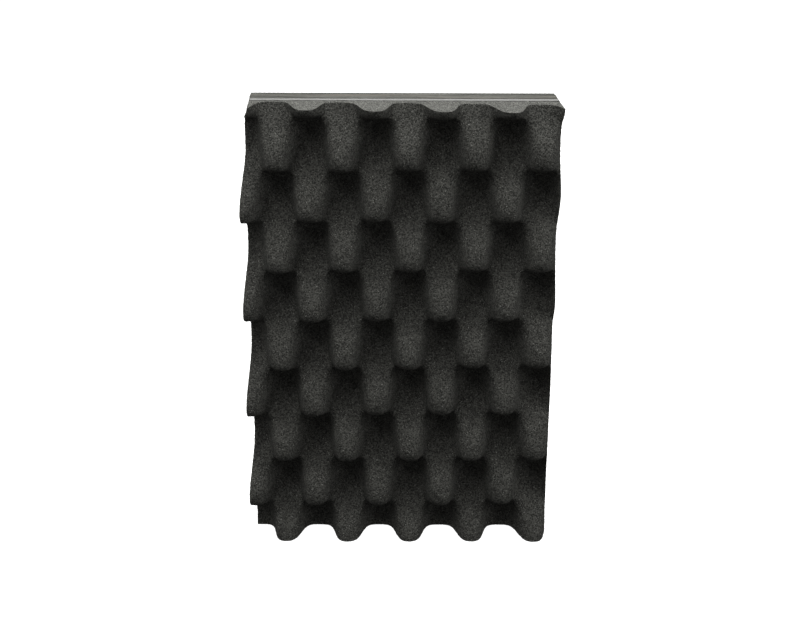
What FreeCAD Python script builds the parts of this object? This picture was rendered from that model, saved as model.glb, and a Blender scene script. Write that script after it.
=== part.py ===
import FreeCAD, Part
import math
import os

# Laminated foam back pad, all sizes in millimetres.
#
# The pad stands on its lower end. +Z runs up its length, X runs across its width, the knobbed
# foam faces -Y and the flat back faces +Y. The origin is at the middle of the box's underside.
# From back to front it is a skin, a felt backing, a bond film, a spreader sheet, a second bond
# film and the convoluted foam. Every layer is a separate piece, and each lies flat on the next.

# Outline of the pad
pad_width = 194.3
pad_length = 300.0

# Thickness of each layer. The foam's is that of its web, under the hollows, and its knobs.
skin_thickness = 3.0
felt_thickness = 12.4
rear_film_thickness = 1.2
spreader_thickness = 4.8
front_film_thickness = 1.6
web_thickness = 2.5
knob_height = 25.2

# Knob pattern: the two pitches, where the first crest lies against the upper left corner seen
# from the front, and the turn of the pattern on the blank in degrees
pitch_across = 42.25
pitch_along = 67.16
first_crest_from_left = -5.7
first_crest_from_top = -6.2
pattern_turn = 0.44

# Shape of a knob: how steep its flanks are across and along, how much of the front is hollow,
# and how far it droops towards the lower end for each millimetre that it stands forward
steepness_across = 1.65
steepness_along = 0.9
hollow_share = 0.3
droop = 0.42

# Spacing of the points that the wavy surface is drawn through, and how often the depth at a
# point is worked out again so that the droop settles
surface_step = 3.3
droop_rounds = 12

laminate_thickness = (
    skin_thickness
    + felt_thickness
    + rear_film_thickness
    + spreader_thickness
    + front_film_thickness
)
pad_thickness = laminate_thickness + web_thickness + knob_height
back_y = pad_thickness / 2
left_x = -pad_width / 2
right_x = pad_width / 2


def steep_cosine(distance, pitch, steepness):
    """A cosine of this pitch with its flanks made steeper, still between -1 and 1."""
    cosine = math.cos(2 * math.pi * distance / pitch)
    return math.tanh(steepness * cosine) / math.tanh(steepness)


def wave(across, down):
    """Between -1 in a hollow and 1 on a crest: crests in rows, each row half a pitch across."""
    checker = (
        steep_cosine(across, pitch_across, steepness_across)
        * steep_cosine(down, pitch_along, steepness_along)
    )
    return checker - hollow_share * (1 - checker * checker)


def foam_depth(x, z):
    """Thickness of the foam at a point, from its bonded face to its wavy front."""
    turn = math.radians(pattern_turn)
    from_left = x - left_x
    from_top = pad_length - z
    across = from_left * math.cos(turn) - from_top * math.sin(turn) - first_crest_from_left
    down = from_top * math.cos(turn) + from_left * math.sin(turn) - first_crest_from_top
    middle_depth = web_thickness + knob_height / 2
    depth = middle_depth
    for _ in range(droop_rounds):
        level = wave(across, down - droop * (depth - middle_depth))
        depth = middle_depth + knob_height / 2 * level
    return depth


def wavy_front(rear_y):
    """The wavy face, drawn through foam depths on an even grid over the whole outline."""
    steps_across = math.ceil(pad_width / surface_step)
    steps_along = math.ceil(pad_length / surface_step)
    step_x = pad_width / steps_across
    step_z = pad_length / steps_along
    depths = [
        [foam_depth(left_x + i * step_x, j * step_z) for j in range(steps_along + 1)]
        for i in range(steps_across + 1)
    ]
    surface = Part.BSplineSurface()
    surface.interpolate(depths, left_x, step_x, 0, step_z)
    face = surface.toShape()
    face.rotate(FreeCAD.Vector(0, 0, 0), FreeCAD.Vector(1, 0, 0), 90)
    face.translate(FreeCAD.Vector(0, rear_y, 0))
    return face


def layer(rear_y, thickness):
    """A flat layer of the whole outline, whose rear face lies at rear_y."""
    corner = FreeCAD.Vector(left_x, rear_y - thickness, 0)
    return Part.makeBox(pad_width, thickness, pad_length, corner)


def flat_side(top_edge, rear_y):
    """The cut side of the foam, between a wavy edge and the bonded plane at rear_y."""
    start = top_edge.Vertexes[0].Point
    end = top_edge.Vertexes[-1].Point
    rear_start = FreeCAD.Vector(start.x, rear_y, start.z)
    rear_end = FreeCAD.Vector(end.x, rear_y, end.z)
    edges = [
        top_edge,
        Part.makeLine(end, rear_end),
        Part.makeLine(rear_end, rear_start),
        Part.makeLine(rear_start, start),
    ]
    return Part.Face(Part.Wire(edges))


def convoluted_foam(rear_y):
    """Foam with staggered knobs in front and a flat bonded face behind."""
    front = wavy_front(rear_y)
    sides = [flat_side(edge, rear_y) for edge in front.Edges]
    corners = [
        FreeCAD.Vector(left_x, rear_y, 0),
        FreeCAD.Vector(right_x, rear_y, 0),
        FreeCAD.Vector(right_x, rear_y, pad_length),
        FreeCAD.Vector(left_x, rear_y, pad_length),
    ]
    rear = Part.Face(Part.makePolygon(corners + corners[:1]))
    shell = Part.Shell([front, rear] + sides)
    shell.sewShape()
    return Part.Solid(shell)


def back_skin(rear_y):
    """Outer skin, the face that lies against the wearer or the jacket."""
    return layer(rear_y, skin_thickness)


def felt_backing(rear_y):
    """Thick felt that pads the back of the spreader sheet."""
    return layer(rear_y, felt_thickness)


def rear_bond_film(rear_y):
    """Adhesive film between the felt and the spreader sheet."""
    return layer(rear_y, rear_film_thickness)


def spreader_sheet(rear_y):
    """Firm sheet that spreads a blow over the whole pad."""
    return layer(rear_y, spreader_thickness)


def front_bond_film(rear_y):
    """Adhesive film between the spreader sheet and the convoluted foam."""
    return layer(rear_y, front_film_thickness)


def pad_layers():
    """Every layer with its node name, stacked from the back face towards the knobs."""
    stack = [
        (back_skin, skin_thickness),
        (felt_backing, felt_thickness),
        (rear_bond_film, rear_film_thickness),
        (spreader_sheet, spreader_thickness),
        (front_bond_film, front_film_thickness),
        (convoluted_foam, web_thickness + knob_height),
    ]
    layers = {}
    rear_y = back_y
    for make, thickness in stack:
        layers[make.__name__] = make(rear_y)
        rear_y -= thickness
    return layers


os.makedirs("parts", exist_ok=True)
for name, shape in pad_layers().items():
    if shape.Volume < 0:
        shape.reverse()
    shape.exportStep("parts/" + name + ".step")
    box = shape.BoundBox
    print(name, shape.ShapeType, shape.isValid(), round(shape.Volume / 1000, 2), "cm3")
    print("  x", round(box.XMin, 3), round(box.XMax, 3), "y", round(box.YMin, 3), round(box.YMax, 3),
          "z", round(box.ZMin, 3), round(box.ZMax, 3))
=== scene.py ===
# %% [markdown]
# # A laminated foam back pad
# The pad is a flat blank of open-cell foam whose front is cut into rows of long, staggered
# knobs. Behind the foam lie a bond film, a firm spreader sheet, a second film, a felt backing
# and a skin. The imported CAD model gives every size and place, so it is loaded first.

# %% Load the imported pad
import bpy
import bmesh
import math
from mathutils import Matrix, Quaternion, Vector


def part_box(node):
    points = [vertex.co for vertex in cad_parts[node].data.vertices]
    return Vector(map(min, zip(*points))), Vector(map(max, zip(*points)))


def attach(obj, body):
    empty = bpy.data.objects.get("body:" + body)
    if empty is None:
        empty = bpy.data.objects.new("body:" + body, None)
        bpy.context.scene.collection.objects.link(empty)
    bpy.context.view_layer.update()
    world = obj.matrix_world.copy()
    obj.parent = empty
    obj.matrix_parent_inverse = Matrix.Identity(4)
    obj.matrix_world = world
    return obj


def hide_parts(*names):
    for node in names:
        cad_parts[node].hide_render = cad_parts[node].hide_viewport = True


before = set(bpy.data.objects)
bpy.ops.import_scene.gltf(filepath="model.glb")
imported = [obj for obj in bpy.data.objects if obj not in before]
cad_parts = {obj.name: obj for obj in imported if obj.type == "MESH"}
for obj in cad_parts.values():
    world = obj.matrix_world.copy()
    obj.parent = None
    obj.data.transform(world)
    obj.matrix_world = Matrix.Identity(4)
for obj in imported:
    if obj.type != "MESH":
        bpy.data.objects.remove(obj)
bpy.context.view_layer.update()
MM = 0.001

# %% [markdown]
# The foam's box gives the outline of the pad: its left and right cuts, its lower and upper
# ends, the plane it is bonded on and its thickness. All layers share that outline.

# %% Sizes read from the frame
foam_low, foam_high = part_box("convoluted_foam")
left_cut, right_cut = foam_low.x, foam_high.x
lower_end, upper_end = foam_low.z, foam_high.z
bond_plane = foam_high.y
foam_thickness = foam_high.y - foam_low.y
pad_width = right_cut - left_cut
pad_length = upper_end - lower_end
pad_middle = Vector((0, 0, pad_length / 2))
back_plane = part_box("back_skin")[1].y
print(f"pad {pad_width:.3f} x {pad_length:.3f} m, foam {foam_thickness:.4f} m thick")

# %% [markdown]
# The camera stands about a metre in front of the pad, a little to the left, and looks down on
# it at about 22 degrees, so that the cut upper end shows. It is placed by distance, height
# angle and side angle around the point it aims at, and the lens is a short telephoto.

# %% Camera
CAMERA_DISTANCE = 0.9936
CAMERA_HEIGHT_ANGLE = math.radians(21.654)
CAMERA_SIDE_ANGLE = math.radians(-0.465)
CAMERA_ROLL = math.radians(0.276)
CAMERA_LENS = 67.5
AIM_OFFSET = Vector((-1.1, 0, 3.1)) * MM

aim = pad_middle + AIM_OFFSET
towards_camera = Vector((
    math.sin(CAMERA_SIDE_ANGLE) * math.cos(CAMERA_HEIGHT_ANGLE),
    -math.cos(CAMERA_SIDE_ANGLE) * math.cos(CAMERA_HEIGHT_ANGLE),
    math.sin(CAMERA_HEIGHT_ANGLE),
))
camera_data = bpy.data.cameras.new("camera")
camera_data.lens = CAMERA_LENS
camera_data.sensor_width = 36
camera = bpy.data.objects.new("camera", camera_data)
camera.location = aim + towards_camera * CAMERA_DISTANCE
camera.rotation_mode = "QUATERNION"
camera.rotation_quaternion = (
    Quaternion(towards_camera, CAMERA_ROLL) @ towards_camera.to_track_quat("Z", "Y")
)
bpy.context.scene.collection.objects.link(camera)
bpy.context.scene.camera = camera
print("camera at", [round(value, 4) for value in camera.location])

# %% [markdown]
# Small helpers. `put` adds a node and fills its inputs, and `Number` wraps a wire that carries
# a number, so that a formula for a surface can be written as an ordinary sum. Both work in
# geometry trees and in materials.

# %% Helpers for node trees
def plug(tree, socket, value):
    """Joins a wire to an input, or sets the input to a plain value."""
    if isinstance(value, Number):
        tree.links.new(value.source, socket)
    elif isinstance(value, bpy.types.NodeSocket):
        tree.links.new(value, socket)
    else:
        socket.default_value = value


def put(tree, kind, inputs=None, **options):
    """Adds a node with these options, and fills its inputs by name or number."""
    node = tree.nodes.new(kind)
    for name, value in options.items():
        setattr(node, name, value)
    for key, value in (inputs or {}).items():
        plug(tree, node.inputs[key], value)
    return node


class Number:
    """A number on a wire of a node tree. Sums on it add Math nodes to the tree."""

    def __init__(self, tree, source):
        self.tree = tree
        self.source = source

    def math(self, operation, *others):
        node = self.tree.nodes.new("ShaderNodeMath")
        node.operation = operation
        for socket, value in zip(node.inputs, (self, *others)):
            plug(self.tree, socket, value)
        return Number(self.tree, node.outputs[0])

    def __add__(self, other):
        return self.math("ADD", other)

    def __sub__(self, other):
        return self.math("SUBTRACT", other)

    def __mul__(self, other):
        return self.math("MULTIPLY", other)

    def __truediv__(self, other):
        return self.math("DIVIDE", other)


def constant(tree, value):
    """A fixed number as a wire, for the start of a sum."""
    node = tree.nodes.new("ShaderNodeValue")
    node.outputs[0].default_value = value
    return Number(tree, node.outputs[0])


# %% [markdown]
# A Geometry Nodes tree is started, ended and run in the same way for every piece.

# %% Helpers for geometry trees
def new_geometry_tree(name, inputs):
    """A Geometry Nodes tree with named inputs. Returns the tree and a dict of its input wires."""
    tree = bpy.data.node_groups.new(name, "GeometryNodeTree")
    tree.interface.new_socket("Geometry", in_out="INPUT", socket_type="NodeSocketGeometry")
    for label, kind in inputs.items():
        tree.interface.new_socket(label, in_out="INPUT", socket_type="NodeSocket" + kind)
    tree.interface.new_socket("Geometry", in_out="OUTPUT", socket_type="NodeSocketGeometry")
    entry = tree.nodes.new("NodeGroupInput")
    wires = {socket.name: socket for socket in entry.outputs if socket.name}
    for label, kind in inputs.items():
        if kind in ("Float", "Int"):
            wires[label] = Number(tree, entry.outputs[label])
    return tree, wires


def finish_tree(tree, geometry, material):
    """Ends a tree as every tree here ends: instances made real, then the material set."""
    real = put(tree, "GeometryNodeRealizeInstances", {0: geometry})
    painted = put(tree, "GeometryNodeSetMaterial", {0: real.outputs[0], "Material": material})
    leave = tree.nodes.new("NodeGroupOutput")
    tree.links.new(painted.outputs[0], leave.inputs[0])


def grow(name, tree, values, start=None):
    """Runs a tree on a start mesh with these input values, and returns a plain mesh object."""
    carrier = bpy.data.objects.new(name, start or bpy.data.meshes.new(name))
    bpy.context.scene.collection.objects.link(carrier)
    modifier = carrier.modifiers.new("grow", "NODES")
    modifier.node_group = tree
    for item in tree.interface.items_tree:
        if item.in_out == "INPUT" and item.name in values:
            modifier[item.identifier] = values[item.name]
    bpy.context.view_layer.update()
    graph = bpy.context.evaluated_depsgraph_get()
    mesh = bpy.data.meshes.new_from_object(carrier.evaluated_get(graph))
    carrier.modifiers.clear()
    carrier.data = mesh
    mesh.name = name
    return carrier


# %% Helpers for finished pieces
FLAT_TOLERANCE = 1e-5


def triangles(piece):
    """How many triangles a piece has."""
    piece.data.calc_loop_triangles()
    return len(piece.data.loop_triangles)


def smooth(piece, angle):
    """Smooth shading, but for edges sharper than this angle in degrees."""
    piece.data.polygons.foreach_set("use_smooth", [True] * len(piece.data.polygons))
    piece.data.set_sharp_from_angle(angle=math.radians(angle))


def place_piece(piece, node):
    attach(piece, "root")
    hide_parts(node)
    print(f"{piece.name}: {triangles(piece)} triangles")


def drop_hidden_face(piece, plane_y):
    """Makes the flat bonded face one face, because it lies against the next layer."""
    shell = bmesh.new()
    shell.from_mesh(piece.data)
    flat = [
        face for face in shell.faces
        if all(abs(v.co.y - plane_y) < FLAT_TOLERANCE for v in face.verts)
    ]
    bmesh.ops.dissolve_faces(shell, faces=flat, use_verts=False)
    shell.to_mesh(piece.data)
    shell.free()


# %% [markdown]
# Open-cell foam is a web of thin struts around small round cells. Cut across, it shows a
# field of dark cell mouths with lighter rims. A Voronoi texture gives exactly that: its
# distance is small at a cell's middle and large at the rim. The same texture, at the same
# scale, pits the mesh and tints the material, so pits and colour fall on each other.

# %% Foam material
CELLS_PER_METRE = 900
FOAM_PIT_COLOUR = (0.016, 0.0161, 0.0145, 1)
FOAM_RIM_COLOUR = (0.072, 0.072, 0.065, 1)
FOAM_STRAND_COLOUR = (0.25, 0.25, 0.23, 1)
# painted shade: the share of the foam colour that is left deepest in the hollows
HOLLOW_SHADE = 0.92
# painted light: the factor by which the colour of the cut faces is raised
CUT_FACE_PAINTED_LIGHT = 1.5
PATCH_SCALE = 260
STRAND_SCALE = 1500
FOAM_BUMP = 0.4 * MM


def object_coordinates(tree):
    return put(tree, "ShaderNodeTexCoord").outputs["Object"]


def new_material(name):
    """A material with an empty tree but for its Principled shader and its output."""
    material = bpy.data.materials.new(name)
    material.use_nodes = True
    shader = material.node_tree.nodes["Principled BSDF"]
    return material, material.node_tree, shader


def mixed(tree, share, first, second):
    """Blends two colours by a share from 0 to 1."""
    node = put(tree, "ShaderNodeMix", {"Factor": share}, data_type="RGBA")
    plug(tree, node.inputs["A"], first)
    plug(tree, node.inputs["B"], second)
    return node.outputs["Result"]


def between(tree, value, low, high):
    """A wire that runs from 0 to 1 while the value runs from low to high."""
    node = put(tree, "ShaderNodeMapRange", {"Value": value, "From Min": low, "From Max": high})
    return Number(tree, node.outputs["Result"])


def foam_material():
    material, tree, shader = new_material("charcoal_foam")
    place = object_coordinates(tree)
    cells = put(tree, "ShaderNodeTexVoronoi", {"Vector": place, "Scale": CELLS_PER_METRE})
    distance = Number(tree, cells.outputs["Distance"])
    patches = put(tree, "ShaderNodeTexNoise", {"Vector": place, "Scale": PATCH_SCALE, "Detail": 2.0})
    patch = Number(tree, patches.outputs[0])
    rim = between(tree, distance + (patch - 0.5) * 0.5, 0.2, 0.75)
    base = mixed(tree, rim, FOAM_PIT_COLOUR, FOAM_RIM_COLOUR)
    strands = put(tree, "ShaderNodeTexNoise", {"Vector": place, "Scale": STRAND_SCALE, "Detail": 1.0})
    bright = between(tree, strands.outputs[0], 0.64, 0.76)
    colour = mixed(tree, bright, base, FOAM_STRAND_COLOUR)

    # painted shade darkens the colour in the hollows, and painted light makes the cut faces lighter
    crest = Number(tree, put(tree, "ShaderNodeAttribute", attribute_name="crest").outputs["Fac"])
    cut = Number(tree, put(tree, "ShaderNodeAttribute", attribute_name="cut_face").outputs["Fac"])
    shade = crest * (1 - HOLLOW_SHADE) + HOLLOW_SHADE
    shade = shade + (constant(tree, CUT_FACE_PAINTED_LIGHT) - shade) * cut
    shaded = put(tree, "ShaderNodeVectorMath", {0: colour}, operation="SCALE")
    plug(tree, shaded.inputs["Scale"], shade)
    tree.links.new(shaded.outputs[0], shader.inputs["Base Color"])
    shader.inputs["Roughness"].default_value = 0.9
    shader.inputs["Specular IOR Level"].default_value = 0.15
    bump = put(tree, "ShaderNodeBump", {"Height": distance, "Distance": FOAM_BUMP, "Strength": 0.8})
    tree.links.new(bump.outputs[0], shader.inputs["Normal"])
    return material


foam_finish = foam_material()
print("foam cells are", round(1000 / CELLS_PER_METRE, 2), "mm apart")

# %% [markdown]
# The foam's shape follows one rule, so a Geometry Nodes tree makes it. A box of quads, closed
# and finely divided on every side, is pushed into shape point by point. The depth of the
# front is a checkerboard of two cosine waves, each made steeper by a tanh, so that crests and
# hollows are broad and the flanks between them steep. The crests droop a little towards the
# lower end: the depth at a point is looked up further up the pad the more it stands forward,
# so it is worked out several times over until it settles. A slow noise bends the pattern and
# changes the height of each knob, because no two real knobs are quite alike.

# %% Geometry Nodes tree for the convoluted foam
FOAM_INPUTS = {
    "Width": "Float", "Length": "Float", "Left Cut": "Float", "Lower End": "Float",
    "Bond Plane": "Float", "Web": "Float", "Knob Height": "Float",
    "Pitch Across": "Float", "Pitch Along": "Float",
    "First Crest From Left": "Float", "First Crest From Top": "Float",
    "Turn": "Float", "Steepness Across": "Float", "Steepness Along": "Float",
    "Hollow Share": "Float", "Droop": "Float", "Upper Tilt": "Float", "Tilt Reach": "Float",
    "Left Lean": "Float", "Right Lean": "Float", "Corner Lean": "Float", "Corner Reach": "Float",
    "Back Plane": "Float",
    "Wander": "Float", "Height Wander": "Float", "Pit Depth": "Float", "Cells Per Metre": "Float",
    "Points Across": "Int", "Points Deep": "Int", "Points Along": "Int",
    "Material": "Material",
}
WANDER_SCALE = 28.0
CUT_FACE_REACH = 0.1 * MM
BOND_CLEARANCE = 0.2 * MM
MEAN_MOUTH = 0.45
HOLLOW_DEPTH = 0.7
THINNEST_FOAM = 0.9 * MM
DROOP_ROUNDS = 8


def keep(tree, geometry, name, value):
    """Stores a number on every point under this name, so that a material can read it."""
    node = put(tree, "GeometryNodeStoreNamedAttribute", {"Geometry": geometry, "Name": name})
    plug(tree, node.inputs["Value"], value)
    return node.outputs[0]


def faded(tree, distance, reach, start, end=0.0):
    """A value that runs smoothly from start, at no distance, to end at this reach."""
    node = put(tree, "ShaderNodeMapRange", {
        "Value": distance, "From Min": 0.0, "From Max": reach, "To Min": start, "To Max": end,
    }, interpolation_type="SMOOTHSTEP")
    return Number(tree, node.outputs["Result"])


def steep_cosine(distance, pitch, steepness):
    """A cosine of this pitch with its flanks made steeper, still between -1 and 1."""
    cosine = (distance / pitch * (2 * math.pi)).math("COSINE")
    return (cosine * steepness).math("TANH") / steepness.math("TANH")


def foam_tree():
    tree, wire = new_geometry_tree("convoluted foam", FOAM_INPUTS)
    block_size = put(tree, "ShaderNodeCombineXYZ", {"X": wire["Width"], "Y": 1.0, "Z": wire["Length"]})
    block = put(tree, "GeometryNodeMeshCube", {
        "Size": block_size.outputs[0], "Vertices X": wire["Points Across"],
        "Vertices Y": wire["Points Deep"], "Vertices Z": wire["Points Along"],
    })
    position = put(tree, "GeometryNodeInputPosition").outputs[0]
    parts = put(tree, "ShaderNodeSeparateXYZ", {0: position})
    block_x = Number(tree, parts.outputs[0])
    block_y = Number(tree, parts.outputs[1])
    block_z = Number(tree, parts.outputs[2])
    from_left = block_x + wire["Width"] * 0.5
    from_top = wire["Length"] * 0.5 - block_z
    forward = constant(tree, 0.5) - block_y

    # a slow noise in the plane of the pad moves each knob by up to the wander
    plane = put(tree, "ShaderNodeCombineXYZ", {"X": block_x, "Y": 0.0, "Z": block_z}).outputs[0]
    drift = put(tree, "ShaderNodeTexNoise", {"Vector": plane, "Scale": WANDER_SCALE, "Detail": 0.0})
    drifts = put(tree, "ShaderNodeSeparateXYZ", {0: drift.outputs["Color"]})
    drift_across = (Number(tree, drifts.outputs[0]) - 0.5) * wire["Wander"] * 2
    drift_down = (Number(tree, drifts.outputs[1]) - 0.5) * wire["Wander"] * 2
    drift_height = (Number(tree, drifts.outputs[2]) - 0.5) * wire["Height Wander"] * 2

    # the sides lean, so a point of the front moves across by its distance from the back
    left_lean = faded(tree, from_top, wire["Corner Reach"], wire["Corner Lean"], wire["Left Lean"])
    lean = left_lean + (wire["Right Lean"] - left_lean) * (from_left / wire["Width"])
    crest_distance = wire["Back Plane"] - wire["Bond Plane"] + wire["Web"] + wire["Knob Height"]
    leaned_left = from_left + lean * crest_distance

    cos_turn = wire["Turn"].math("COSINE")
    sin_turn = wire["Turn"].math("SINE")
    across = leaned_left * cos_turn - from_top * sin_turn - wire["First Crest From Left"] + drift_across
    down = from_top * cos_turn + from_left * sin_turn - wire["First Crest From Top"] + drift_down
    half_height = wire["Knob Height"] * 0.5
    middle_depth = wire["Web"] + half_height
    wave_across = steep_cosine(across, wire["Pitch Across"], wire["Steepness Across"])

    depth = middle_depth
    for _ in range(DROOP_ROUNDS):
        drooped = down - wire["Droop"] * (depth - middle_depth)
        checker = wave_across * steep_cosine(drooped, wire["Pitch Along"], wire["Steepness Along"])
        wave = checker - wire["Hollow Share"] * (constant(tree, 1.0) - checker * checker)
        depth = middle_depth + half_height * wave
    depth = depth + drift_height * (wave + 1) * 0.5

    # near the upper end the profile was cut at a slight tilt, so the foam is thicker on the right
    depth = depth + block_x * faded(tree, from_top, wire["Tilt Reach"], wire["Upper Tilt"])
    depth = depth.math("MAXIMUM", THINNEST_FOAM)

    y = wire["Bond Plane"] - depth * forward
    x = wire["Left Cut"] + from_left + lean * (wire["Back Plane"] - y)
    z = wire["Lower End"] + wire["Length"] * 0.5 + block_z
    shaped_position = put(tree, "ShaderNodeCombineXYZ", {"X": x, "Y": y, "Z": z}).outputs[0]
    end_distance = wire["Length"] * 0.5 - block_z.math("ABSOLUTE")
    side_distance = wire["Width"] * 0.5 - block_x.math("ABSOLUTE")
    # painted light: points on the cut sides and ends are marked, and the material makes them lighter
    cut_face = end_distance.math("MINIMUM", side_distance).math("LESS_THAN", CUT_FACE_REACH)
    marked = keep(tree, block.outputs[0], "cut_face", cut_face)
    # painted shade: the crest value is 1 on the crests and falls towards the hollows, where the material
    # darkens the colour
    marked = keep(tree, marked, "crest", ((wave + 1) / HOLLOW_DEPTH).math("MINIMUM", 1.0))
    shaped = put(tree, "GeometryNodeSetPosition", {0: marked, "Position": shaped_position})

    # cell mouths: every point but those on the bonded face sinks by the depth of its cell
    cells = put(tree, "ShaderNodeTexVoronoi", {"Vector": position, "Scale": wire["Cells Per Metre"]})
    mouth = Number(tree, cells.outputs["Distance"])
    normal = put(tree, "GeometryNodeInputNormal").outputs[0]
    sink = (mouth - MEAN_MOUTH) * wire["Pit Depth"]
    push = put(tree, "ShaderNodeVectorMath", {0: normal}, operation="SCALE")
    plug(tree, push.inputs["Scale"], sink)
    y_now = put(tree, "ShaderNodeSeparateXYZ", {0: position}).outputs[1]
    bare = (Number(tree, y_now) - wire["Bond Plane"]).math("LESS_THAN", -BOND_CLEARANCE)
    pitted = put(tree, "GeometryNodeSetPosition", {
        0: shaped.outputs[0], "Selection": bare, "Offset": push.outputs[0],
    })
    finish_tree(tree, pitted.outputs[0], wire["Material"])
    return tree


convoluted_tree = foam_tree()
print("foam tree has", len(convoluted_tree.nodes), "nodes")

# %% [markdown]
# The tree is now run once with this pad's sizes. A thin web of foam joins the knobs behind, so
# the knobs take nearly all of the foam's thickness. The first crests lie just outside the blank,
# as they do where a pad is cut from a long roll without regard to the pattern. The two side cuts
# lean a little, and the foam is pitted finely enough that its grain is real geometry. A
# modelled surface was chosen over a displacement in the material, because it keeps its outline
# from every side.

# %% Convoluted foam
KNOB_HEIGHT = 25.2 * MM
LEFT_LEAN = -0.103
RIGHT_LEAN = 0.066
CORNER_LEAN = 0.02
CORNER_REACH = 15 * MM
POINT_SPACING = 0.5 * MM

foam = grow("foam_with_knobs", convoluted_tree, {
    "Width": pad_width, "Length": pad_length, "Left Cut": left_cut, "Lower End": lower_end,
    "Bond Plane": bond_plane, "Web": foam_thickness - KNOB_HEIGHT, "Knob Height": KNOB_HEIGHT,
    "Pitch Across": 42.25 * MM, "Pitch Along": 67.16 * MM,
    "First Crest From Left": -5.05 * MM, "First Crest From Top": -6.0 * MM,
    "Turn": math.radians(0.44), "Steepness Across": 1.65, "Steepness Along": 0.9,
    "Hollow Share": 0.3, "Droop": 0.42, "Upper Tilt": 0.035, "Tilt Reach": 90 * MM,
    "Left Lean": LEFT_LEAN, "Right Lean": RIGHT_LEAN, "Corner Lean": CORNER_LEAN,
    "Corner Reach": CORNER_REACH, "Back Plane": back_plane,
    "Wander": 1.2 * MM, "Height Wander": 2.0 * MM,
    "Pit Depth": 0.5 * MM, "Cells Per Metre": float(CELLS_PER_METRE),
    "Points Across": round(pad_width / POINT_SPACING), "Points Deep": 36,
    "Points Along": round(pad_length / POINT_SPACING),
    "Material": foam_finish,
})
drop_hidden_face(foam, bond_plane)
smooth(foam, 65)
place_piece(foam, "convoluted_foam")

# %% [markdown]
# The laminate behind the foam. Each layer is a flat slab that was cut through with the foam, so
# only its cut edge shows, and the back of the last one. `slab` builds a closed shell with two
# flat faces and a finely divided rim. One Geometry Nodes tree then gives every rim its cut: it
# leans the ends of the slab as the foam's sides lean, bulges or recesses the rim, and roughens
# it with a noise that can be squeezed into thin streaks.

# %% Slabs and the tree that cuts their rims
RIM_SPACING = 0.6 * MM
CUT_EDGE_ANGLE = 50


def slab(name, rear_y, front_y, rows):
    """A closed shell between two flat faces, its rim divided into rows and short steps."""
    steps_x = round(pad_width / RIM_SPACING)
    steps_z = round(pad_length / RIM_SPACING)
    outline = [(left_cut + pad_width * i / steps_x, lower_end) for i in range(steps_x)]
    outline += [(right_cut, lower_end + pad_length * i / steps_z) for i in range(steps_z)]
    outline += [(right_cut - pad_width * i / steps_x, upper_end) for i in range(steps_x)]
    outline += [(left_cut, upper_end - pad_length * i / steps_z) for i in range(steps_z)]
    count = len(outline)
    points = []
    for row in range(rows + 1):
        y = rear_y + (front_y - rear_y) * row / rows
        points += [(x, y, z) for x, z in outline]
    faces = [tuple(range(count)), tuple(rows * count + i for i in reversed(range(count)))]
    for row in range(rows):
        for i in range(count):
            after = (i + 1) % count
            faces.append((row * count + i, (row + 1) * count + i,
                          (row + 1) * count + after, row * count + after))
    mesh = bpy.data.meshes.new(name)
    mesh.from_pydata(points, [], faces)
    shell = bmesh.new()
    shell.from_mesh(mesh)
    bmesh.ops.recalc_face_normals(shell, faces=shell.faces)
    shell.to_mesh(mesh)
    shell.free()
    return mesh


RIM_INPUTS = {
    "Rear": "Float", "Front": "Float", "Bulge": "Float",
    "Grain Depth": "Float", "Grain Along": "Float", "Grain Through": "Float",
    "Ripple Depth": "Float", "Material": "Material",
}
RIPPLE_SCALE = 45.0


def stretched_noise(tree, place, along, through, detail):
    """A noise that is finer through the layers than along them. Gives a number from 0 to 1."""
    parts = put(tree, "ShaderNodeSeparateXYZ", {0: place}).outputs
    grid = put(tree, "ShaderNodeCombineXYZ", {
        "X": Number(tree, parts[0]) * along,
        "Y": Number(tree, parts[1]) * through,
        "Z": Number(tree, parts[2]) * along,
    })
    noise = put(tree, "ShaderNodeTexNoise", {"Vector": grid.outputs[0], "Scale": 1.0, "Detail": detail})
    return Number(tree, noise.outputs[0])


def leaning_x(tree, x, y, z):
    """Where a point lies across the pad once the two side cuts lean."""
    from_top = constant(tree, upper_end) - z
    left_lean = faded(tree, from_top, CORNER_REACH, CORNER_LEAN, LEFT_LEAN)
    share = (x - left_cut) / pad_width
    lean = left_lean + share * (constant(tree, RIGHT_LEAN) - left_lean)
    return x + lean * (constant(tree, back_plane) - y)


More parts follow.
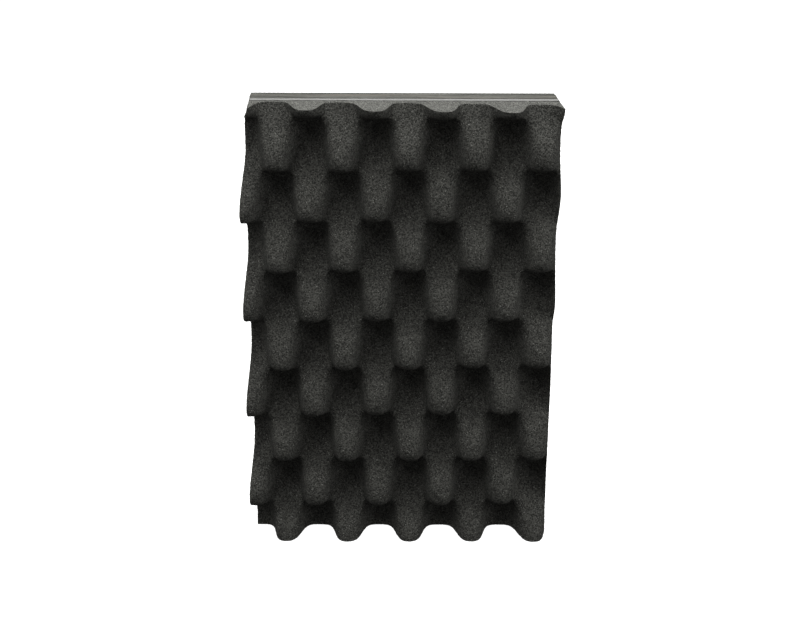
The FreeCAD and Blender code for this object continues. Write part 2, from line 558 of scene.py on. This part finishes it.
def rim_tree():
    tree, wire = new_geometry_tree("cut rim", RIM_INPUTS)
    place = put(tree, "GeometryNodeInputPosition").outputs[0]
    parts = put(tree, "ShaderNodeSeparateXYZ", {0: place}).outputs
    x, y, z = (Number(tree, part) for part in parts)
    normal = put(tree, "GeometryNodeInputNormal").outputs[0]
    level = put(tree, "ShaderNodeVectorMath", {0: normal, 1: (1.0, 0.0, 1.0)}, operation="MULTIPLY")
    outward = put(tree, "ShaderNodeVectorMath", {0: level.outputs[0]}, operation="NORMALIZE")

    # 1 half way through the slab and 0 at both faces
    through = (y - wire["Rear"]) / (wire["Front"] - wire["Rear"]) * 2 - 1
    hump = constant(tree, 1.0) - through * through
    grain = stretched_noise(tree, place, wire["Grain Along"], wire["Grain Through"], 2.0) - 0.5
    ripple = stretched_noise(tree, place, RIPPLE_SCALE, 1.0, 1.0) - 0.5
    reach = hump * wire["Bulge"] + grain * wire["Grain Depth"] + ripple * wire["Ripple Depth"]
    push = put(tree, "ShaderNodeVectorMath", {0: outward.outputs[0]}, operation="SCALE")
    plug(tree, push.inputs["Scale"], reach)
    rough = put(tree, "GeometryNodeSetPosition", {0: wire["Geometry"], "Offset": push.outputs[0]})

    moved = put(tree, "ShaderNodeSeparateXYZ", {0: put(tree, "GeometryNodeInputPosition").outputs[0]})
    x, y, z = (Number(tree, part) for part in moved.outputs)
    leaning = put(tree, "ShaderNodeCombineXYZ", {"X": leaning_x(tree, x, y, z), "Y": y, "Z": z})
    leaned = put(tree, "GeometryNodeSetPosition", {0: rough.outputs[0], "Position": leaning.outputs[0]})
    finish_tree(tree, leaned.outputs[0], wire["Material"])
    return tree


cut_rim_tree = rim_tree()
print("rim tree has", len(cut_rim_tree.nodes), "nodes")


def cut_layer(name, node, rows, values):
    """A slab in the place of a CAD layer, with its rim cut."""
    low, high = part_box(node)
    shell = slab(name, high.y, low.y, rows)
    piece = grow(name, cut_rim_tree, {"Rear": high.y, "Front": low.y, **values}, shell)
    smooth(piece, CUT_EDGE_ANGLE)
    return piece


# %% [markdown]
# The felt is pressed in thin lenses of grey fibre, so its cut edge is streaked along the pad.
# Both the relief and the colour come from noise that is stretched the same way, with a warmer
# and a cooler grey. Loose fibre ends stand out of the cut, and they are grown by a second tree:
# points are scattered on the rim, each gets a thin bent tube, and each tube is turned and sized
# at random from a fixed seed.

# %% Felt material
FELT_DARK = (0.034, 0.034, 0.030, 1)
FELT_PALE = (0.116, 0.116, 0.104, 1)
FELT_WARM = (0.122, 0.110, 0.096, 1)
FELT_ALONG = 22.0
FELT_THROUGH = 900.0
FIBRE_ALONG = 260.0
FIBRE_THROUGH = 2600.0
WARMTH_ALONG = 14.0
WARMTH_THROUGH = 260.0


def felt_material():
    material, tree, shader = new_material("pressed_felt")
    place = object_coordinates(tree)
    streak = stretched_noise(tree, place, FELT_ALONG, FELT_THROUGH, 3.0)
    lens = stretched_noise(tree, place, FELT_ALONG * 0.6, FELT_THROUGH * 0.35, 1.0)
    fibre = stretched_noise(tree, place, FIBRE_ALONG, FIBRE_THROUGH, 2.0)
    share = between(tree, streak * 0.55 + lens * 0.25 + fibre * 0.2, 0.41, 0.57)
    grey = mixed(tree, share, FELT_DARK, FELT_PALE)
    patches = stretched_noise(tree, place, WARMTH_ALONG, WARMTH_THROUGH, 1.0)
    warmth = between(tree, patches, 0.5, 0.7)
    colour = mixed(tree, warmth * 0.55, grey, FELT_WARM)
    tree.links.new(colour, shader.inputs["Base Color"])
    shader.inputs["Roughness"].default_value = 0.95
    shader.inputs["Specular IOR Level"].default_value = 0.1
    bump = put(tree, "ShaderNodeBump", {"Height": fibre + streak, "Distance": 0.0003, "Strength": 0.7})
    tree.links.new(bump.outputs[0], shader.inputs["Normal"])
    return material


# %% [markdown]
# Felt is only pressed, so a cut leaves loose fibre ends. They are real geometry, a few sides to
# each tube, because they show against a pale ground along the whole outline.

# %% Stray fibres
FIBRE_INPUTS = {
    "Fibres Per Square Metre": "Float", "Fibre Length": "Float", "Fibre Radius": "Float",
    "Seed": "Int", "Material": "Material",
}
FIBRE_ROOT_DEPTH = 0.2 * MM
FIBRE_TILT = 1.1
SHORTEST_FIBRE = 0.35
LONGEST_FIBRE = 1.15


def fibre_tree():
    tree, wire = new_geometry_tree("stray fibres", FIBRE_INPUTS)
    normal = put(tree, "GeometryNodeInputNormal").outputs[0]
    facing = Number(tree, put(tree, "ShaderNodeSeparateXYZ", {0: normal}).outputs[1])
    on_rim = facing.math("ABSOLUTE").math("LESS_THAN", 0.6)
    spots = put(tree, "GeometryNodeDistributePointsOnFaces", {
        "Mesh": wire["Geometry"], "Selection": on_rim,
        "Density": wire["Fibres Per Square Metre"], "Seed": wire["Seed"],
    })
    length = wire["Fibre Length"]
    bend = put(tree, "ShaderNodeCombineXYZ", {"X": length * 0.1, "Y": 0.0, "Z": length * 0.55})
    tip = put(tree, "ShaderNodeCombineXYZ", {"X": length * 0.55, "Y": length * 0.15, "Z": length * 0.75})
    line = put(tree, "GeometryNodeCurveQuadraticBezier", {
        "Resolution": 4, "Start": (0.0, 0.0, -FIBRE_ROOT_DEPTH),
        "Middle": bend.outputs[0], "End": tip.outputs[0],
    })
    ring = put(tree, "GeometryNodeCurvePrimitiveCircle", {"Resolution": 3, "Radius": wire["Fibre Radius"]})
    tube = put(tree, "GeometryNodeCurveToMesh", {
        "Curve": line.outputs[0], "Profile Curve": ring.outputs[0], "Fill Caps": True,
    })
    spin = put(tree, "FunctionNodeRandomValue", {"Seed": wire["Seed"]}, data_type="FLOAT_VECTOR")
    spin.inputs["Min"].default_value = (-FIBRE_TILT, -FIBRE_TILT, -math.pi)
    spin.inputs["Max"].default_value = (FIBRE_TILT, FIBRE_TILT, math.pi)
    turned = put(tree, "FunctionNodeRotateRotation", {0: spots.outputs["Rotation"]}, rotation_space="LOCAL")
    tree.links.new(spin.outputs["Value"], turned.inputs[1])
    size = put(tree, "FunctionNodeRandomValue", {"Seed": wire["Seed"]}, data_type="FLOAT")
    size.inputs[2].default_value = SHORTEST_FIBRE
    size.inputs[3].default_value = LONGEST_FIBRE
    fibres = put(tree, "GeometryNodeInstanceOnPoints", {
        "Points": spots.outputs[0], "Instance": tube.outputs[0], "Rotation": turned.outputs[0],
        "Scale": size.outputs[1],
    })
    both = tree.nodes.new("GeometryNodeJoinGeometry")
    tree.links.new(fibres.outputs[0], both.inputs[0])
    tree.links.new(wire["Geometry"], both.inputs[0])
    finish_tree(tree, both.outputs[0], wire["Material"])
    return tree


# %% [markdown]
# The rim is cut first, and the fibres are then grown on it, so that they stand on the rough cut.

# %% Felt backing
felt_finish = felt_material()
felt_core = cut_layer("felt_core", "felt_backing", 22, {
    "Bulge": 0.25 * MM, "Grain Depth": 1.1 * MM, "Grain Along": 40.0, "Grain Through": FELT_THROUGH,
    "Ripple Depth": 0.5 * MM, "Material": felt_finish,
})
felt = grow("felt_with_stray_fibres", fibre_tree(), {
    "Fibres Per Square Metre": 150000.0, "Fibre Length": 1.6 * MM, "Fibre Radius": 0.035 * MM,
    "Seed": 4, "Material": felt_finish,
}, felt_core.data)
bpy.data.objects.remove(felt_core)
smooth(felt, CUT_EDGE_ANGLE)
place_piece(felt, "felt_backing")

# %% [markdown]
# The spreader sheet is a dense closed-cell foam, paler than the rest. Its cells are far smaller
# than those of the front foam, so its cut is almost smooth, with faint marks of the blade
# through its thickness. The two bond films are dark, a little sunk in some places and squeezed
# out in others.

# %% Spreader sheet and bond films
SPREADER_COLOUR = (0.148, 0.147, 0.137, 1)
SPREADER_SHADOW = (0.096, 0.095, 0.088, 1)
FILM_COLOUR = (0.012, 0.012, 0.011, 1)
FILM_DUST = (0.040, 0.040, 0.037, 1)


def speckled_material(name, colours, along, through, roughness, bump_distance):
    """Two colours mixed by a stretched noise, which also roughens the surface."""
    material, tree, shader = new_material(name)
    place = object_coordinates(tree)
    speck = stretched_noise(tree, place, along, through, 3.0)
    colour = mixed(tree, between(tree, speck, 0.35, 0.65), *colours)
    tree.links.new(colour, shader.inputs["Base Color"])
    gloss = between(tree, speck, 0.3, 0.7) * 0.2 + (roughness - 0.1)
    plug(tree, shader.inputs["Roughness"], gloss)
    shader.inputs["Specular IOR Level"].default_value = 0.25
    bump = put(tree, "ShaderNodeBump", {"Height": speck, "Distance": bump_distance, "Strength": 0.6})
    tree.links.new(bump.outputs[0], shader.inputs["Normal"])
    return material


spreader_finish = speckled_material(
    "closed_cell_sheet", (SPREADER_SHADOW, SPREADER_COLOUR), 700.0, 350.0, 0.6, 0.0002)
film_finish = speckled_material(
    "bond_film", (FILM_COLOUR, FILM_DUST), 60.0, 400.0, 0.45, 0.0002)

spreader = cut_layer("spreader_slab", "spreader_sheet", 9, {
    "Bulge": 0.3 * MM, "Grain Depth": 0.35 * MM, "Grain Along": 900.0, "Grain Through": 120.0,
    "Ripple Depth": 0.15 * MM, "Material": spreader_finish,
})
place_piece(spreader, "spreader_sheet")
for film_name, film_node in (("rear_film", "rear_bond_film"), ("front_film", "front_bond_film")):
    film = cut_layer(film_name, film_node, 4, {
        "Bulge": -0.6 * MM, "Grain Depth": 0.9 * MM, "Grain Along": 90.0, "Grain Through": 300.0,
        "Ripple Depth": 0.3 * MM, "Material": film_finish,
    })
    place_piece(film, film_node)

# %% [markdown]
# The skin covers the whole back, so its face is modelled as well as its rim. It is a dark knit
# with ribs that run up the pad: a Geometry Nodes tree divides the back finely and lifts it by a
# row of rounded ribs, each made of small stitches that lean left and right in turn. The
# material reads the same stitch pattern and paints shade into the gaps between the stitches,
# so that they are darker.

# %% Back skin
KNIT_PITCH = 3.0 * MM
STITCH_PITCH = 2.6 * MM
KNIT_DEPTH = 0.45 * MM
YARN_SCALE = 1400.0
WEAR_SCALE = 18.0
SKIN_SPACING = 0.85 * MM
SKIN_DARK = (0.009, 0.0095, 0.008, 1)
SKIN_PALE = (0.046, 0.046, 0.040, 1)


def knit_height(tree, x, z):
    """From 0 in the gaps to 1 on the stitches, for a knit whose ribs run up the pad."""
    rib = (x * (math.pi / KNIT_PITCH)).math("SINE").math("ABSOLUTE")
    lean = (x / KNIT_PITCH).math("PINGPONG", 0.5) * 1.6
    stitch = ((z / STITCH_PITCH + lean) * (2 * math.pi)).math("COSINE") * 0.5 + 0.5
    return rib.math("POWER", 0.6) * (stitch * 0.4 + 0.6)


def knit_material():
    material, tree, shader = new_material("knitted_skin")
    place = object_coordinates(tree)
    parts = put(tree, "ShaderNodeSeparateXYZ", {0: place}).outputs
    height = knit_height(tree, Number(tree, parts[0]), Number(tree, parts[2]))
    yarn = put(tree, "ShaderNodeTexNoise", {"Vector": place, "Scale": YARN_SCALE, "Detail": 3.0})
    wear = put(tree, "ShaderNodeTexNoise", {"Vector": place, "Scale": WEAR_SCALE, "Detail": 3.0})
    worn = Number(tree, wear.outputs[0]) * 0.35
    # painted shade: the stitch height darkens the gaps; the yarn noise and the wear patches are the knit's
    # own tone
    share = height * 0.55 + (Number(tree, yarn.outputs[0]) - 0.5) * 0.8 + worn
    colour = mixed(tree, between(tree, share, 0.1, 0.95), SKIN_DARK, SKIN_PALE)
    tree.links.new(colour, shader.inputs["Base Color"])
    shader.inputs["Roughness"].default_value = 0.9
    shader.inputs["Specular IOR Level"].default_value = 0.15
    shader.inputs["Sheen Weight"].default_value = 0.03
    bump = put(tree, "ShaderNodeBump", {
        "Height": yarn.outputs[0], "Distance": 0.0002, "Strength": 0.7,
    })
    tree.links.new(bump.outputs[0], shader.inputs["Normal"])
    return material


SKIN_INPUTS = {
    "Rear": "Float", "Front": "Float", "Knit Depth": "Float", "Edge Roll": "Float",
    "Points Across": "Int", "Points Along": "Int", "Material": "Material",
}


def skin_tree():
    tree, wire = new_geometry_tree("knitted skin", SKIN_INPUTS)
    block = put(tree, "GeometryNodeMeshCube", {
        "Size": (pad_width, 1.0, pad_length), "Vertices X": wire["Points Across"],
        "Vertices Y": 5, "Vertices Z": wire["Points Along"],
    })
    place = put(tree, "GeometryNodeInputPosition").outputs[0]
    parts = put(tree, "ShaderNodeSeparateXYZ", {0: place}).outputs
    block_x, block_y, block_z = (Number(tree, part) for part in parts)
    x = block_x + (left_cut + right_cut) / 2
    z = block_z + (lower_end + upper_end) / 2

    # the pressed edge of the knit rolls forward a little, and the face sinks by its gaps
    back = block_y + 0.5
    from_end = constant(tree, pad_length / 2) - block_z.math("ABSOLUTE")
    from_side = constant(tree, pad_width / 2) - block_x.math("ABSOLUTE")
    to_edge = from_end.math("MINIMUM", from_side)
    roll = (between(tree, to_edge, 0.0, 0.0025) * -1 + 1) * wire["Edge Roll"]
    sink = (constant(tree, 1.0) - knit_height(tree, x, z)) * wire["Knit Depth"] + roll
    on_back = back.math("GREATER_THAN", 0.9)
    y = wire["Front"] + (wire["Rear"] - wire["Front"]) * back - sink * on_back
    shaped = put(tree, "ShaderNodeCombineXYZ", {"X": leaning_x(tree, x, y, z), "Y": y, "Z": z})
    skin = put(tree, "GeometryNodeSetPosition", {0: block.outputs[0], "Position": shaped.outputs[0]})
    finish_tree(tree, skin.outputs[0], wire["Material"])
    return tree


skin_low, skin_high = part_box("back_skin")
skin = grow("knitted_skin", skin_tree(), {
    "Rear": skin_high.y, "Front": skin_low.y, "Knit Depth": KNIT_DEPTH, "Edge Roll": 0.3 * MM,
    "Points Across": round(pad_width / SKIN_SPACING), "Points Along": round(pad_length / SKIN_SPACING),
    "Material": knit_material(),
})
drop_hidden_face(skin, skin_low.y)
smooth(skin, CUT_EDGE_ANGLE)
place_piece(skin, "back_skin")

# %% [markdown]
# The studio: a pale floor and a pale surround, which read as one plain white ground, and soft
# lights above, on both sides and behind. Nothing shines from straight in front or from below,
# and the floor throws no light up into the foam, so the hollows under the knobs stay dark.

# %% Floor
def plain_material(name, colour, glow):
    material, tree, shader = new_material(name)
    shader.inputs["Base Color"].default_value = (*colour, 1)
    shader.inputs["Roughness"].default_value = 0.9
    shader.inputs["Emission Color"].default_value = (1, 1, 1, 1)
    shader.inputs["Emission Strength"].default_value = glow
    return material


floor_mesh = bpy.data.meshes.new("floor")
FLOOR_HALF = 6.0
floor_corners = [(-FLOOR_HALF, -FLOOR_HALF, 0), (FLOOR_HALF, -FLOOR_HALF, 0),
                 (FLOOR_HALF, FLOOR_HALF, 0), (-FLOOR_HALF, FLOOR_HALF, 0)]
floor_mesh.from_pydata(floor_corners, [], [(0, 1, 2, 3)])
floor = bpy.data.objects.new("floor", floor_mesh)
floor_mesh.materials.append(plain_material("pale_floor", (0.35, 0.35, 0.35), 1.0))
floor.visible_diffuse = False
floor.visible_glossy = False
bpy.context.scene.collection.objects.link(floor)

# %% [markdown]
# The camera sees a white surround, but the foam is lit by far less of it. A Light Path node
# tells a ray from the camera from the rest, so that the ground is white and the hollows are not
# washed out.

# %% World
world = bpy.data.worlds.new("studio")
world.use_nodes = True
background = world.node_tree.nodes["Background"]
background.inputs["Color"].default_value = (1, 1, 1, 1)
WORLD_SEEN = 1.0
WORLD_FILL = 0.14
seen = put(world.node_tree, "ShaderNodeLightPath").outputs["Is Camera Ray"]
strength = Number(world.node_tree, seen) * (WORLD_SEEN - WORLD_FILL) + WORLD_FILL
plug(world.node_tree, background.inputs["Strength"], strength)
bpy.context.scene.world = world
bpy.context.scene.view_settings.view_transform = "Standard"

# %% [markdown]
# Broad lights give soft shadows. Each is placed by its side and height round the pad, which is
# easier to judge than three coordinates, and turned to face the pad's middle.

# %% Lights
def from_angles(side, height, distance):
    """A place around the pad: side 0 is in front, 90 to the right, and height is in degrees."""
    side = math.radians(side)
    height = math.radians(height)
    level = math.cos(height)
    way = Vector((math.sin(side) * level, -math.cos(side) * level, math.sin(height)))
    return pad_middle + way * distance


def soft_light(name, place, target, size, power):
    data = bpy.data.lights.new(name, "AREA")
    data.shape = "RECTANGLE"
    data.size, data.size_y = size
    data.energy = power
    light = bpy.data.objects.new(name, data)
    light.location = place
    light.rotation_mode = "QUATERNION"
    light.rotation_quaternion = (Vector(place) - target).to_track_quat("Z", "Y")
    bpy.context.scene.collection.objects.link(light)


LIGHT_DISTANCE = 1.4

# each light's side and height in degrees, its width and height in metres, and its watts
STUDIO_LIGHTS = {
    "upper_left": (-30, 60, (0.9, 0.9), 10.4),
    "right": (70, 27, (0.8, 0.8), 9.0),
    "left": (-70, 30, (0.8, 0.8), 3.5),
    "high_behind": (180, 60, (0.9, 0.7), 25.0),
    "low_behind": (180, 20, (0.9, 0.7), 6.0),
}
for light_name, (side, height, size, power) in STUDIO_LIGHTS.items():
    soft_light(light_name, from_angles(side, height, LIGHT_DISTANCE), pad_middle, size, power)
print("lights:", ", ".join(STUDIO_LIGHTS))
